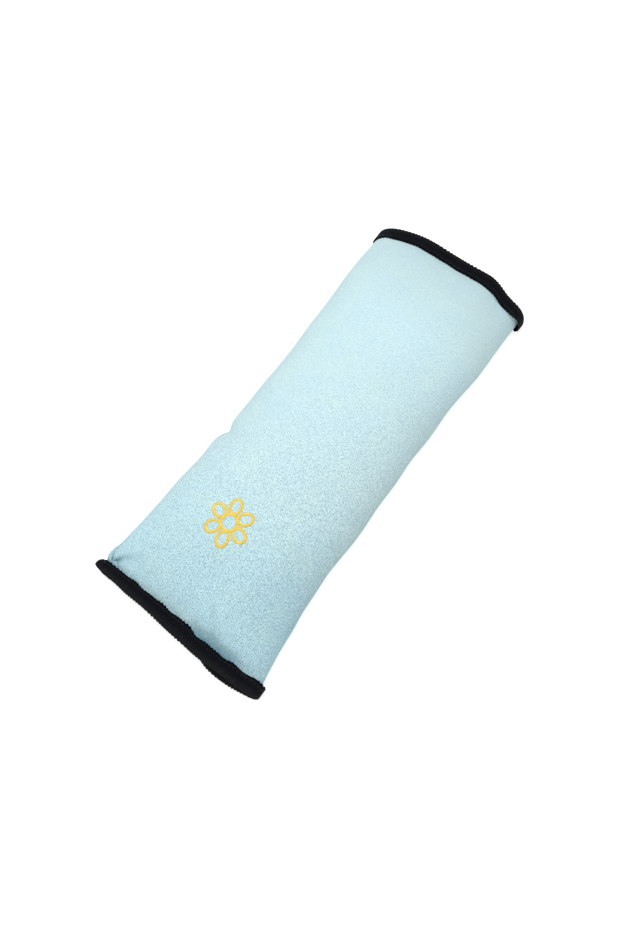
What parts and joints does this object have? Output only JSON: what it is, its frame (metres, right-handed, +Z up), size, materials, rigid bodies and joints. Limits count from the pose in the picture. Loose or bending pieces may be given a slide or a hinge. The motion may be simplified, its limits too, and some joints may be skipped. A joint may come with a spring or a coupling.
{
  "type": "seat belt shoulder pad",
  "caption": "Stuffed plush shoulder pad with bound ends and two belt flaps behind it that close over a seat belt with hook and loop tape.",
  "frame": {"origin": "under the middle of the bounding box, on the surface the pad lies on", "axes": "+X along the pad from the near end to the narrower far end, +Y to its left, +Z up through the front panel"},
  "size_m": [0.285, 0.1192, 0.0724],
  "materials": {
    "plush": "short pile, pale blue",
    "lining": "plain woven lining, pale blue",
    "wadding": "loose polyester fibre",
    "binding": "ribbed black tape, matt",
    "hook_tape": "black nylon hooks",
    "loop_tape": "black brushed loops",
    "embroidery_thread": "yellow satin stitch"
  },
  "bodies": {
    "root": {"front_panel": "plush", "back_lining": "lining", "fibre_filling": "wadding", "outer_belt_flap": "plush", "inner_belt_flap": "plush", "hook_tape": "hook_tape", "loop_tape": "loop_tape", "near_end_binding": "binding", "far_end_binding": "binding", "embroidered_flower": "embroidery_thread"}
  },
  "joints": []
}
